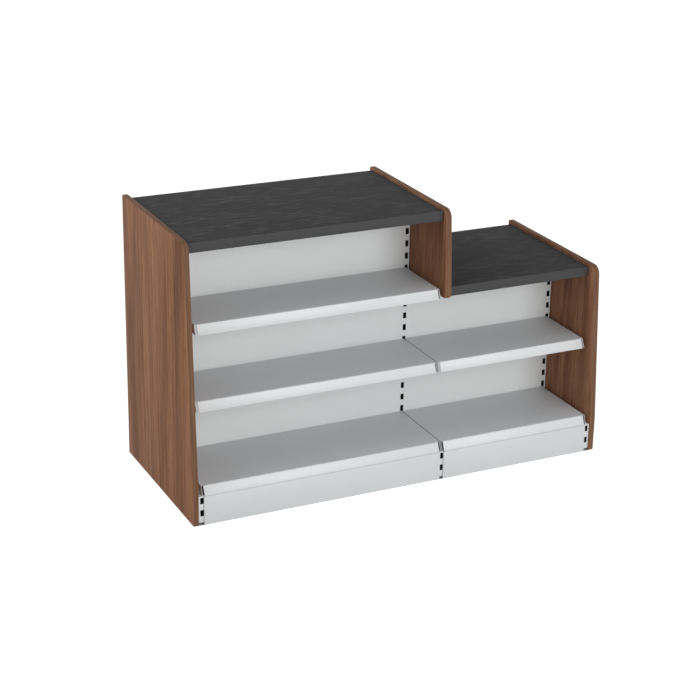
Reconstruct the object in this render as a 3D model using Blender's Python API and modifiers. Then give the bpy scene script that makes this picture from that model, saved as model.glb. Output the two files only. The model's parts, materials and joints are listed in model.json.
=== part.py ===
"""Two-level shop counter on slotted shelving posts, with tray shelves, laminate tops and end panels.

Metres, +Z up. The front faces -Y and the high bay is at -X. The origin is on the floor, under the middle of the
counter. Depths are measured back from the foot of the end panels' front edges.
"""

import math

import bmesh
import bpy
from mathutils import Matrix, Vector

# Clearances
FIT = 0.0003
COUNTER_END_GAP = 0.002
TRAY_SEAM = 0.005
TRAY_REAR_GAP = 0.0007
SLOT_CLEARANCE = 0.0008
BACK_STRIP_MARGIN = 0.001
HOOK_PLAY = 0.006
NOTCH_CLEARANCE = 0.003
BEARER_CLEARANCE = 0.002
PLINTH_TOP_GAP = 0.0005
TIE_GAP = 0.002

# Bays and uprights
BAY_LEFT = 1.000
BAY_RIGHT = 0.665
UPRIGHT_WIDTH = 0.028
UPRIGHT_DEPTH = 0.060
UPRIGHT_WALL = 0.002
UPRIGHT_SETBACK = 0.351
SLOT_PITCH = 0.050
FIRST_SLOT = 0.065
SLOT_END_MARGIN = 0.006

# Laminate end panels and step panel
PANEL_THICK = 0.022
PANEL_DEPTH = 0.718
HIGH_PANEL_RISE = 0.009
LOW_PANEL_RISE = 0.0125
PANEL_FLOOR_GAP = 0.002
PANEL_KNEE = 0.144
PANEL_SETBACK = 0.066
PANEL_EDGE = 0.002
FRONT_CORNER = 0.036
REAR_CORNER = 0.006
FOOT_CORNER = 0.003
STEP_CORNER = 0.025
STEP_PANEL_LIFT = 0.006

# Counter tops and the bearers under them
HIGH_TOP = 1.070
LOW_TOP = 0.763
COUNTER_THICK = 0.038
COUNTER_DEPTH = 0.604
COUNTER_REAR_INSET = 0.025
COUNTER_EDGE = 0.001
BEARER_WIDTH = 0.030
BEARER_HEIGHT = 0.025
BEARER_WALL = 0.002
BEARER_TIP_INSET = 0.090
BEARER_SIDE_INSET = 0.120

# Tray shelves
SHEET = 0.0012
BASE_TOP = 0.153
BASE_DEPTH = 0.327
HUNG_DEPTH = 0.277
UPPER_SHELF_SLOT = 14
MIDDLE_SHELF_SLOT = 8
TRAY_ABOVE_SLOT = 0.003
LIP_DROP = 0.036
LIP_LEAN = 0.0165
LIP_NOTCH = 0.0085
NOTCH_OVERCUT = 0.0001
RAIL_THICK = 0.0025
RAIL_HEAD_INSET = 0.0015
RAIL_FOOT_REACH = 0.0007

# Shelf brackets
BRACKET_THICK = 0.002
BRACKET_TIP_GAP = 0.030
BRACKET_TIP_HEIGHT = 0.028
BRACKET_HEEL = 0.014
HOOK_HEIGHT = 0.010
HOOK_DROP = 0.009
HOOK_THICK = 0.004
HOOK_GAP = 0.0005

# Base legs, feet and plinths
LEG_FLOOR_GAP = 0.010
LEG_WALL = 0.002
LEG_SLOT_DROP = 0.018
REAR_LEG_HEIGHT = 0.060
REAR_LEG_INSET = 0.030
FOOT_RADIUS = 0.012
FOOT_PAD = 0.007
FOOT_BEVEL = 0.0015
FOOT_INSET = 0.0238
STEM_RADIUS = 0.004
STEM_ENGAGE = 0.025
PLINTH_STEP = 0.0035
PLINTH_REACH = 0.0045
PLINTH_FLOOR_GAP = 0.0005
PLINTH_END_INSET = 0.0075

# Back panels and ties
BACK_RETURN = 0.012
BACK_RETURN_INSET = 0.004
TIE_HEIGHT = 0.040
TIE_DEPTH = 0.030
TIE_WALL = 0.0015
BOTTOM_TIE_HEIGHT = 0.030

# Facets
CORNER_STEPS = 6
SMALL_CORNER_STEPS = 2
ROUND_SIDES = 20
SHARP_ANGLE = math.radians(60)
MERGE = 0.00001

# Places worked out from the dimensions above
WIDTH = BAY_LEFT + BAY_RIGHT + UPRIGHT_WIDTH + 2 * (FIT + PANEL_THICK)
LEFT = -WIDTH / 2
RIGHT = WIDTH / 2
POST_LEFT = LEFT + PANEL_THICK + FIT + UPRIGHT_WIDTH / 2
POST_MIDDLE = POST_LEFT + BAY_LEFT
POST_RIGHT = POST_MIDDLE + BAY_RIGHT
STEP_INNER = POST_MIDDLE + UPRIGHT_WIDTH / 2 + FIT
STEP_OUTER = STEP_INNER + PANEL_THICK
HIGH_UNDER = HIGH_TOP - COUNTER_THICK
LOW_UNDER = LOW_TOP - COUNTER_THICK
HIGH_PANEL_TOP = HIGH_TOP + HIGH_PANEL_RISE
LOW_PANEL_TOP = LOW_TOP + LOW_PANEL_RISE
COUNTER_REAR = PANEL_DEPTH - COUNTER_REAR_INSET
COUNTER_FRONT = COUNTER_REAR - COUNTER_DEPTH
BACK_FACE = UPRIGHT_SETBACK - FIT - SHEET
TRAY_REAR = BACK_FACE - TRAY_REAR_GAP
BASE_FRONT = TRAY_REAR - BASE_DEPTH
UPPER_TOP = FIRST_SLOT + UPPER_SHELF_SLOT * SLOT_PITCH + TRAY_ABOVE_SLOT
MIDDLE_TOP = FIRST_SLOT + MIDDLE_SHELF_SLOT * SLOT_PITCH + TRAY_ABOVE_SLOT
LIP_LENGTH = math.hypot(LIP_LEAN, LIP_DROP)
LIP_NORMAL = Vector((-LIP_DROP / LIP_LENGTH, LIP_LEAN / LIP_LENGTH))
SHEET_ACROSS_LIP = SHEET * LIP_LENGTH / LIP_DROP
LEG_TOP = BASE_TOP - LIP_DROP - FIT
PLINTH_FRONT = BASE_FRONT - LIP_LEAN - PLINTH_STEP
LEG_FRONT = PLINTH_FRONT + PLINTH_REACH
PLINTH_TOP = BASE_TOP - LIP_DROP - RAIL_FOOT_REACH - PLINTH_TOP_GAP
BRACKET_OFFSET = TRAY_SEAM / 2 + SHEET + FIT
SLOT_WIDTH = 2 * (BRACKET_OFFSET + BRACKET_THICK + SLOT_CLEARANCE)
SLOT_HEIGHT = HOOK_HEIGHT + HOOK_DROP + HOOK_PLAY
BACK_STRIP = SLOT_WIDTH + 2 * BACK_STRIP_MARGIN
BEARER_DROP = BEARER_HEIGHT + 2 * FIT
TIE_FRONT = UPRIGHT_SETBACK + BACK_RETURN + TIE_GAP
REAR_LEG_FRONT = UPRIGHT_SETBACK + UPRIGHT_DEPTH + FIT
REAR_LEG_REAR = PANEL_DEPTH - REAR_LEG_INSET

# Middle of each bearer and the underside of the counter top on it
BEARERS = {
    "bearer_high_left": (POST_LEFT + BEARER_SIDE_INSET, HIGH_UNDER),
    "bearer_high_middle": ((POST_LEFT + POST_MIDDLE) / 2, HIGH_UNDER),
    "bearer_high_right": (POST_MIDDLE - BEARER_SIDE_INSET, HIGH_UNDER),
    "bearer_low_left": (POST_MIDDLE + BEARER_SIDE_INSET, LOW_UNDER),
    "bearer_low_right": (POST_RIGHT - BEARER_SIDE_INSET, LOW_UNDER),
}

# Finishes: base colour, roughness and metallic value
FINISHES = {
    "walnut_laminate": ((0.23, 0.12, 0.075), 0.5, 0.0),
    "charcoal_laminate": ((0.045, 0.045, 0.047), 0.55, 0.0),
    "grey_steel": ((0.36, 0.36, 0.37), 0.4, 0.0),
    "light_steel": ((0.55, 0.55, 0.56), 0.4, 0.0),
    "white_plastic": ((0.78, 0.79, 0.80), 0.35, 0.0),
    "galvanised_steel": ((0.42, 0.43, 0.44), 0.45, 0.8),
    "black_plastic": ((0.012, 0.012, 0.012), 0.6, 0.0),
}


def clear_scene():
    for obj in list(bpy.data.objects):
        bpy.data.objects.remove(obj, do_unlink=True)


def make_collection(name):
    collection = bpy.data.collections.new(name)
    bpy.context.scene.collection.children.link(collection)
    return collection


def make_finish(name):
    colour, roughness, metallic = FINISHES[name]
    finish = bpy.data.materials.new(name)
    finish.use_nodes = True
    shader = finish.node_tree.nodes["Principled BSDF"]
    shader.inputs["Base Color"].default_value = (*colour, 1.0)
    shader.inputs["Roughness"].default_value = roughness
    shader.inputs["Metallic"].default_value = metallic
    return finish


def row(depth):
    """World Y of a depth measured back from the foot of the panels' front edges."""
    return depth - PANEL_DEPTH / 2


def panel_front(height):
    """Depth of the panels' front edge: upright up to the knee, then leaning back."""
    slope = PANEL_SETBACK / (HIGH_PANEL_TOP - PANEL_KNEE)
    return max(0.0, height - PANEL_KNEE) * slope


def rounded(corners):
    """Outline through (point, radius, steps) corners, each corner turned into an arc."""
    points = []
    for index, (corner, radius, steps) in enumerate(corners):
        corner = Vector(corner)
        before = Vector(corners[index - 1][0]) - corner
        after = Vector(corners[(index + 1) % len(corners)][0]) - corner
        if radius == 0.0:
            points.append(corner)
            continue
        half = before.angle(after) / 2
        reach = radius / math.tan(half)
        middle = (before.normalized() + after.normalized()).normalized()
        centre = corner + middle * (radius / math.sin(half))
        start = corner + before.normalized() * reach - centre
        turn = start.angle_signed(corner + after.normalized() * reach - centre)
        for step in range(steps + 1):
            arm = start.copy()
            arm.rotate(Matrix.Rotation(-turn * step / steps, 2))
            points.append(centre + arm)
    return points


def prism(outline, low, high):
    """Mesh of a (depth, height) outline that runs along X from low to high."""
    curve = bpy.data.curves.new("outline", "CURVE")
    curve.dimensions = "2D"
    curve.fill_mode = "BOTH"
    curve.extrude = (high - low) / 2
    spline = curve.splines.new("POLY")
    spline.points.add(len(outline) - 1)
    for point, (depth, height) in zip(spline.points, outline):
        point.co = (row(depth), height, 0.0, 1.0)
    spline.use_cyclic_u = True
    guide = bpy.data.objects.new("outline", curve)
    bpy.context.scene.collection.objects.link(guide)
    bpy.context.view_layer.update()
    evaluated = guide.evaluated_get(bpy.context.evaluated_depsgraph_get())
    mesh = bpy.data.meshes.new_from_object(evaluated)
    bpy.data.objects.remove(guide, do_unlink=True)
    stand = Matrix(((0, 0, 1, (low + high) / 2), (1, 0, 0, 0), (0, 1, 0, 0), (0, 0, 0, 1)))
    shape = bmesh.new()
    shape.from_mesh(mesh)
    bmesh.ops.transform(shape, matrix=stand, verts=shape.verts)
    bmesh.ops.remove_doubles(shape, verts=shape.verts, dist=MERGE)
    bmesh.ops.recalc_face_normals(shape, faces=shape.faces)
    shape.to_mesh(mesh)
    shape.free()
    return mesh


def blocks(boxes):
    """Mesh of separate boxes, each given by its low and high (x, depth, height) corners."""
    shape = bmesh.new()
    for low, high in boxes:
        low = Vector((low[0], row(low[1]), low[2]))
        high = Vector((high[0], row(high[1]), high[2]))
        size = Matrix.Diagonal((*(high - low), 1.0))
        bmesh.ops.create_cube(shape, size=1.0, matrix=Matrix.Translation((low + high) / 2) @ size)
    mesh = bpy.data.meshes.new("blocks")
    shape.to_mesh(mesh)
    shape.free()
    return mesh


def disc(centre, radius, low, high):
    """Upright round bar about a point in plan."""
    shape = bmesh.new()
    middle = Matrix.Translation((centre[0], row(centre[1]), (low + high) / 2))
    bmesh.ops.create_cone(
        shape, cap_ends=True, segments=ROUND_SIDES, radius1=radius, radius2=radius, depth=high - low, matrix=middle
    )
    mesh = bpy.data.meshes.new("disc")
    shape.to_mesh(mesh)
    shape.free()
    return mesh


class Counter:
    """Collects the counter's pieces, their cutters and their finishes."""

    def __init__(self):
        self.parts = make_collection("shop_counter")
        self.cutters = make_collection("cutters")
        self.finishes = {name: make_finish(name) for name in FINISHES}

    def piece(self, name, mesh, finish):
        """Named object whose origin is the middle of its mesh."""
        corners = [vertex.co for vertex in mesh.vertices]
        low = Vector([min(corner[axis] for corner in corners) for axis in range(3)])
        high = Vector([max(corner[axis] for corner in corners) for axis in range(3)])
        middle = (low + high) / 2
        mesh.transform(Matrix.Translation(-middle))
        mesh.name = name
        mesh.materials.clear()
        mesh.materials.append(self.finishes[finish])
        obj = bpy.data.objects.new(name, mesh)
        obj.location = middle
        self.parts.objects.link(obj)
        return obj

    def tool(self, obj, mesh, operation):
        """Wire object that a Boolean modifier takes from, or joins to, a piece."""
        tool = bpy.data.objects.new(f"{obj.name}_{operation.lower()}", mesh)
        tool.hide_render = True
        tool.display_type = "WIRE"
        self.cutters.objects.link(tool)
        boolean = obj.modifiers.new(operation.title(), "BOOLEAN")
        boolean.operation = operation
        boolean.solver = "EXACT"
        boolean.object = tool

    def soften(self, obj, width, segments):
        bevel = obj.modifiers.new("Edges", "BEVEL")
        bevel.width = width
        bevel.segments = segments
        bevel.limit_method = "ANGLE"
        bevel.angle_limit = SHARP_ANGLE


def make_panel(counter, name, low, top, bottom, foot):
    """Laminate board with rounded top corners; foot holds the bottom corners' radius and steps."""
    corners = [
        ((panel_front(bottom), bottom), *foot),
        ((panel_front(PANEL_KNEE), PANEL_KNEE), 0.0, 0),
        ((panel_front(top), top), FRONT_CORNER, CORNER_STEPS),
        ((PANEL_DEPTH, top), REAR_CORNER, CORNER_STEPS),
        ((PANEL_DEPTH, bottom), *foot),
    ]
    if bottom >= PANEL_KNEE:
        del corners[1]
    board = counter.piece(name, prism(rounded(corners), low, low + PANEL_THICK), "walnut_laminate")
    counter.soften(board, PANEL_EDGE, SMALL_CORNER_STEPS)


def make_panels(counter):
    foot = (FOOT_CORNER, SMALL_CORNER_STEPS)
    make_panel(counter, "end_panel_left", LEFT, HIGH_PANEL_TOP, PANEL_FLOOR_GAP, foot)
    make_panel(counter, "end_panel_right", RIGHT - PANEL_THICK, LOW_PANEL_TOP, PANEL_FLOOR_GAP, foot)
    make_panel(counter, "step_panel", STEP_INNER, HIGH_PANEL_TOP, LOW_UNDER + STEP_PANEL_LIFT, (STEP_CORNER, CORNER_STEPS))


def make_counter_tops(counter):
    spans = {
        "counter_top_high": (LEFT + PANEL_THICK, STEP_INNER, HIGH_TOP),
        "counter_top_low": (STEP_OUTER, RIGHT - PANEL_THICK, LOW_TOP),
    }
    for name, (low, high, top) in spans.items():
        start = (low + COUNTER_END_GAP, COUNTER_FRONT, top - COUNTER_THICK)
        end = (high - COUNTER_END_GAP, COUNTER_REAR, top)
        board = counter.piece(name, blocks([(start, end)]), "charcoal_laminate")
        counter.soften(board, COUNTER_EDGE, 1)


def make_bearers(counter):
    """Box rails from front to rear that carry the counter tops on the top ties."""
    front = COUNTER_FRONT + BEARER_TIP_INSET
    rear = COUNTER_REAR - BEARER_TIP_INSET
    for name, (middle, under) in BEARERS.items():
        side = BEARER_WIDTH / 2
        top = under - FIT
        rail = counter.piece(
            name,
            blocks([((middle - side, front, top - BEARER_HEIGHT), (middle + side, rear, top))]),
            "galvanised_steel",
        )
        inside = side - BEARER_WALL
        start = (middle - inside, front - BEARER_WIDTH, top - BEARER_HEIGHT + BEARER_WALL)
        end = (middle + inside, rear + BEARER_WIDTH, top - BEARER_WALL)
        counter.tool(rail, blocks([(start, end)]), "DIFFERENCE")


def slot_heights(top):
    """Centres of the slots that fit below an upright's top."""
    count = int((top - SLOT_END_MARGIN - SLOT_HEIGHT / 2 - FIRST_SLOT) / SLOT_PITCH) + 1
    return [FIRST_SLOT + SLOT_PITCH * index for index in range(count)]


def make_uprights(counter):
    posts = {
        "upright_left": (POST_LEFT, HIGH_UNDER),
        "upright_middle": (POST_MIDDLE, HIGH_UNDER),
        "upright_right": (POST_RIGHT, LOW_UNDER),
    }
    rear = UPRIGHT_SETBACK + UPRIGHT_DEPTH
    for name, (middle, under) in posts.items():
        side = UPRIGHT_WIDTH / 2
        top = under - FIT
        start = (middle - side, UPRIGHT_SETBACK, LEG_FLOOR_GAP)
        post = counter.piece(name, blocks([(start, (middle + side, rear, top))]), "light_steel")
        inside = side - UPRIGHT_WALL
        low = (middle - inside, UPRIGHT_SETBACK + UPRIGHT_WALL, LEG_FLOOR_GAP - UPRIGHT_WIDTH)
        high = (middle + inside, rear - UPRIGHT_WALL, top + UPRIGHT_WIDTH)
        counter.tool(post, blocks([(low, high)]), "DIFFERENCE")
        slots = []
        for height in slot_heights(top):
            low = (middle - SLOT_WIDTH / 2, UPRIGHT_SETBACK - UPRIGHT_WALL, height - SLOT_HEIGHT / 2)
            high = (middle + SLOT_WIDTH / 2, rear + UPRIGHT_WALL, height + SLOT_HEIGHT / 2)
            slots.append((low, high))
        counter.tool(post, blocks(slots), "DIFFERENCE")


def make_leg(counter, name, middle, front, rear, top, slots):
    """Box-section base leg: open at its upright end, with a hole for its foot's stem and slots in its post."""
    side = UPRIGHT_WIDTH / 2
    leg = counter.piece(
        name, blocks([((middle - side, front, LEG_FLOOR_GAP), (middle + side, rear, top))]), "light_steel"
    )
    inside = side - LEG_WALL
    forward = front < UPRIGHT_SETBACK
    hollow_front = front + LEG_WALL if forward else front - LEG_WALL
    hollow_rear = rear + LEG_WALL if forward else rear - LEG_WALL
    low = (middle - inside, hollow_front, LEG_FLOOR_GAP + LEG_WALL)
    counter.tool(leg, blocks([(low, (middle + inside, hollow_rear, top - LEG_WALL))]), "DIFFERENCE")
    foot = front + FOOT_INSET if forward else rear - FOOT_INSET
    hole = disc((middle, foot), STEM_RADIUS + FIT, LEG_FLOOR_GAP - LEG_WALL, LEG_FLOOR_GAP + 2 * LEG_WALL)
    counter.tool(leg, hole, "DIFFERENCE")
    if slots:
        cuts = []
        for height in slots:
            start = (middle - SLOT_WIDTH / 2, front - LEG_WALL, height - SLOT_HEIGHT / 2)
            end = (middle + SLOT_WIDTH / 2, front + 2 * LEG_WALL, height + SLOT_HEIGHT / 2)
            cuts.append((start, end))
        counter.tool(leg, blocks(cuts), "DIFFERENCE")
    make_foot(counter, name.replace("leg", "foot"), middle, foot)


def make_foot(counter, name, middle, depth):
    """Levelling foot: a round pad on the floor and a stem that stands in its leg."""
    pad = counter.piece(name, disc((middle, depth), FOOT_RADIUS, 0.0, FOOT_PAD), "black_plastic")
    counter.soften(pad, FOOT_BEVEL, 1)
    stem = disc((middle, depth), STEM_RADIUS, FOOT_PAD / 2, LEG_FLOOR_GAP + STEM_ENGAGE)
    counter.tool(pad, stem, "UNION")


def make_legs(counter):
    slots = []
    height = LEG_TOP - LEG_SLOT_DROP
    while height - SLOT_HEIGHT / 2 > LEG_FLOOR_GAP + LEG_WALL + SLOT_END_MARGIN:
        slots.append(height)
        height -= SLOT_PITCH
    for side, middle in (("left", POST_LEFT), ("middle", POST_MIDDLE), ("right", POST_RIGHT)):
        make_leg(counter, f"front_leg_{side}", middle, LEG_FRONT, UPRIGHT_SETBACK - FIT, LEG_TOP, slots)
        rear_top = LEG_FLOOR_GAP + REAR_LEG_HEIGHT
        make_leg(counter, f"rear_leg_{side}", middle, REAR_LEG_FRONT, REAR_LEG_REAR, rear_top, [])


def make_ties(counter):
    """Box rails between the uprights, behind the back panels."""
    bays = {"left": (POST_LEFT, POST_MIDDLE, HIGH_UNDER), "right": (POST_MIDDLE, POST_RIGHT, LOW_UNDER)}
    for bay, (first, second, under) in bays.items():
        levels = {"bottom": BOTTOM_TIE_HEIGHT + TIE_HEIGHT, "top": under - BEARER_DROP}
        for level, top in levels.items():
            start = first + UPRIGHT_WIDTH / 2 + FIT
            end = second - UPRIGHT_WIDTH / 2 - FIT
            low = (start, TIE_FRONT, top - TIE_HEIGHT)
            rail = counter.piece(
                f"tie_{level}_{bay}", blocks([(low, (end, TIE_FRONT + TIE_DEPTH, top))]), "galvanised_steel"
            )
            low = (start - TIE_DEPTH, TIE_FRONT + TIE_WALL, top - TIE_HEIGHT + TIE_WALL)
            high = (end + TIE_DEPTH, TIE_FRONT + TIE_DEPTH - TIE_WALL, top - TIE_WALL)
            counter.tool(rail, blocks([(low, high)]), "DIFFERENCE")


def make_backs(counter):
    """Steel back panels that cover the uprights' faces up to the slots, with stiffening returns behind.

    The top panel of a bay is notched round the bearers.
    """
    seams = [BASE_TOP - LIP_DROP, MIDDLE_TOP - LIP_DROP / 2, UPPER_TOP - LIP_DROP / 2]
    bays = {
        "left": (POST_LEFT, POST_MIDDLE, seams, HIGH_UNDER),
        "right": (POST_MIDDLE, POST_RIGHT, seams[:2], LOW_UNDER),
    }
    names = ("lower", "middle", "upper")
    cut = BEARER_WIDTH / 2 + BEARER_CLEARANCE
    cut_rear = UPRIGHT_SETBACK + BACK_RETURN + SHEET
    for bay, (first, second, joins, under) in bays.items():
        heights = joins + [under - FIT / 2]
        low_x = first + BACK_STRIP / 2
        high_x = second - BACK_STRIP / 2
        inset = UPRIGHT_WIDTH / 2 + BACK_RETURN_INSET
        for name, bottom, top in zip(names, heights, heights[1:]):
            bottom += FIT / 2
            top -= FIT / 2
            face = blocks([((low_x, BACK_FACE, bottom), (high_x, BACK_FACE + SHEET, top))])
            sheet = counter.piece(f"back_panel_{bay}_{name}", face, "light_steel")
            returns = []
            for edge in (bottom, top - SHEET):
                start = (first + inset, BACK_FACE + SHEET / 2, edge)
                end = (second - inset, UPRIGHT_SETBACK + BACK_RETURN, edge + SHEET)
                returns.append((start, end))
            counter.tool(sheet, blocks(returns), "UNION")
        notches = []
        for middle, level in BEARERS.values():
            if level == under:
                start = (middle - cut, BACK_FACE - SHEET, under - BEARER_DROP)
                notches.append((start, (middle + cut, cut_rear, under + SHEET)))
        counter.tool(sheet, blocks(notches), "DIFFERENCE")


def make_tray(counter, name, low, high, front, top):
    """Sheet-steel tray with skirts, a leaning front lip that is notched at its ends and a ticket rail on the lip."""
    lip_foot = Vector((front - LIP_LEAN, top - LIP_DROP))
    outline = [(TRAY_REAR, top), (front, top), lip_foot, (TRAY_REAR, lip_foot.y)]
    tray = counter.piece(name, prism(outline, low, high), "grey_steel")
    inner = front + SHEET_ACROSS_LIP
    ceiling = top - SHEET
    floor = lip_foot.y - SHEET
    slope = LIP_LEAN / LIP_DROP
    hollow = [
        (TRAY_REAR - SHEET, ceiling),
        (inner - SHEET * slope, ceiling),
        (inner - (top - floor) * slope, floor),
        (TRAY_REAR - SHEET, floor),
    ]
    counter.tool(tray, prism(hollow, low + SHEET, high - SHEET), "DIFFERENCE")
    notches = []
    for start, end in ((low + SHEET - NOTCH_OVERCUT, low + LIP_NOTCH), (high - LIP_NOTCH, high - SHEET + NOTCH_OVERCUT)):
        notches.append(((start, lip_foot.x - SHEET, floor), (end, inner, top + SHEET)))
    counter.tool(tray, blocks(notches), "DIFFERENCE")
    along = Vector((-LIP_LEAN, -LIP_DROP)) / LIP_LENGTH
    head = Vector((front, top)) + along * RAIL_HEAD_INSET + LIP_NORMAL * FIT
    foot = lip_foot + along * RAIL_FOOT_REACH + LIP_NORMAL * FIT
    strip = [head, head + LIP_NORMAL * RAIL_THICK, foot + LIP_NORMAL * RAIL_THICK, foot]
    rail = counter.piece(
        name.replace("tray", "ticket_rail"),
        prism(strip, low + LIP_NOTCH, high - LIP_NOTCH),
        "white_plastic",
    )
    rail.parent = tray
    rail.matrix_parent_inverse = Matrix.Translation(-tray.location)


def make_bracket(counter, name, low, front, top):
    """Shelf bracket: a tapered plate with a notch under the tray's rear skirt and two hooks in the slots."""
    back = UPRIGHT_SETBACK - FIT
    neck = top - LIP_DROP - 2 * FIT
    notch = TRAY_REAR - SHEET - NOTCH_CLEARANCE
    rest = top - SHEET - FIT
    tip = front + BRACKET_TIP_GAP
    nose_front = UPRIGHT_SETBACK + UPRIGHT_WALL + HOOK_GAP
    nose_back = nose_front + HOOK_THICK
    first_sill = top - TRAY_ABOVE_SLOT - SLOT_PITCH - SLOT_HEIGHT / 2
    sills = [first_sill, first_sill - SLOT_PITCH]
    outline = [(back, sills[-1] - BRACKET_HEEL), (tip, rest - BRACKET_TIP_HEIGHT), (tip, rest), (notch, rest)]
    outline += [(notch, neck), (back, neck)]
    for sill in sills:
        outline += [
            (back, sill + FIT + HOOK_HEIGHT),
            (nose_back, sill + FIT + HOOK_HEIGHT),
            (nose_back, sill - HOOK_DROP),
            (nose_front, sill - HOOK_DROP),
            (nose_front, sill + FIT),
            (back, sill + FIT),
        ]
    counter.piece(name, prism(outline, low, low + BRACKET_THICK), "grey_steel")


def make_shelves(counter):
    bays = {"left": (POST_LEFT, POST_MIDDLE), "right": (POST_MIDDLE, POST_RIGHT)}
    hung_front = TRAY_REAR - HUNG_DEPTH
    levels = {
        "base": (BASE_TOP, BASE_FRONT, ("left", "right")),
        "middle": (MIDDLE_TOP, hung_front, ("left", "right")),
        "upper": (UPPER_TOP, hung_front, ("left",)),
    }
    for level, (top, front, sides) in levels.items():
        for side in sides:
            first, second = bays[side]
            make_tray(counter, f"tray_{level}_{side}", first + TRAY_SEAM / 2, second - TRAY_SEAM / 2, front, top)
            if level == "base":
                continue
            near = first + BRACKET_OFFSET
            far = second - BRACKET_OFFSET - BRACKET_THICK
            make_bracket(counter, f"bracket_{level}_{side}_a", near, front, top)
            make_bracket(counter, f"bracket_{level}_{side}_b", far, front, top)


def make_plinths(counter):
    """Folded kick plates whose returns lean on the leg posts."""
    back = LEG_FRONT - FIT
    for side, first, second in (("left", POST_LEFT, POST_MIDDLE), ("right", POST_MIDDLE, POST_RIGHT)):
        outline = [
            (PLINTH_FRONT, PLINTH_FLOOR_GAP),
            (PLINTH_FRONT, PLINTH_TOP),
            (back, PLINTH_TOP),
            (back, PLINTH_TOP - SHEET),
            (PLINTH_FRONT + SHEET, PLINTH_TOP - SHEET),
            (PLINTH_FRONT + SHEET, PLINTH_FLOOR_GAP + SHEET),
            (back, PLINTH_FLOOR_GAP + SHEET),
            (back, PLINTH_FLOOR_GAP),
        ]
        start = first + PLINTH_END_INSET
        counter.piece(f"plinth_{side}", prism(outline, start, second - PLINTH_END_INSET), "light_steel")


def main():
    clear_scene()
    counter = Counter()
    make_panels(counter)
    make_counter_tops(counter)
    make_bearers(counter)
    make_uprights(counter)
    make_legs(counter)
    make_ties(counter)
    make_backs(counter)
    make_shelves(counter)
    make_plinths(counter)


main()
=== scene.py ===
"""Looks of a two-level shop counter, laid out as an add-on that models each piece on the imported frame.

Metres, +Z up. The front faces -Y and the high bay is at -X.
"""

import json
import math

import bmesh
import bpy
from bpy.props import FloatProperty, FloatVectorProperty, PointerProperty
from mathutils import Matrix, Vector

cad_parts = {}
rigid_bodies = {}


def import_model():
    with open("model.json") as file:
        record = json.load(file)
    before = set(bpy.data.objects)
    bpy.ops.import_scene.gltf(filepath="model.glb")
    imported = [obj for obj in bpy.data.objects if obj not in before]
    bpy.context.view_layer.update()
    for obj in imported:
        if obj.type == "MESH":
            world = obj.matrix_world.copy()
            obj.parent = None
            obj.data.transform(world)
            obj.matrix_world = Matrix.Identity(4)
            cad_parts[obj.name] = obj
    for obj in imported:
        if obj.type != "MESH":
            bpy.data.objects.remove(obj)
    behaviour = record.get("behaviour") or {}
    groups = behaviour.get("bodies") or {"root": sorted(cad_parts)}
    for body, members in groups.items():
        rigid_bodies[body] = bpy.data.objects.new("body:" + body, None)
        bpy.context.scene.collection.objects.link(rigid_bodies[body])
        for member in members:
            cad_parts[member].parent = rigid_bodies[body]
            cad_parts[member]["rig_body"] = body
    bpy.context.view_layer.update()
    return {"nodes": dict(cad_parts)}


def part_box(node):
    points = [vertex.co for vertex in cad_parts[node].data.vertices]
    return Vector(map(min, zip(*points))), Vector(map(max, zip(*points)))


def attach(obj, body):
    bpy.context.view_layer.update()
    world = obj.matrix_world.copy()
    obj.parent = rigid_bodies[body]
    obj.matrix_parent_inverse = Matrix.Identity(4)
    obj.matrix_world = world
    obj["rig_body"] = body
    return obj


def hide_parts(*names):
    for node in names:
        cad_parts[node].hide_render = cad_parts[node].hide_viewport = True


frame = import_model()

bl_info = {
    "name": "Shop Counter",
    "version": (1, 0, 0),
    "blender": (4, 5, 0),
    "location": "3D View > Sidebar > Shop Counter",
    "description": "Models and finishes the pieces of a two-level shop counter on its packed frame",
    "category": "Object",
}

X, Y, Z = range(3)
TOUCH = 0.00002
SMOOTH = math.radians(35)
SHARP = math.radians(60)

# Gap between pieces that touch, a cutter's reach past what it cuts, and the rounding of a stamped edge, in metres
FIT = 0.0003
OVERRUN = 0.005
EDGE_BREAK = 0.0004

SIDES = ("left", "middle", "right")
ENDS = ("front", "rear")
SHELVES = ("base_left", "base_right", "middle_left", "middle_right", "upper_left")
HIGH_BEARERS = ["bearer_high_left", "bearer_high_middle", "bearer_high_right"]
LOW_BEARERS = ["bearer_low_left", "bearer_low_right"]


def linear(code):
    """Linear colour of an sRGB hex value."""
    channels = [int(code[digit : digit + 2], 16) / 255 for digit in (1, 3, 5)]
    return [value / 12.92 if value <= 0.04045 else ((value + 0.055) / 1.055) ** 2.4 for value in channels]


def length(name, description, default):
    """A length in metres that the sidebar lists."""
    return FloatProperty(name=name, description=description, default=default, unit="LENGTH")


def paint(name, description, code):
    """A colour that the sidebar lists, from its sRGB hex value."""
    return FloatVectorProperty(name=name, description=description, default=linear(code), subtype="COLOR")


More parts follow.
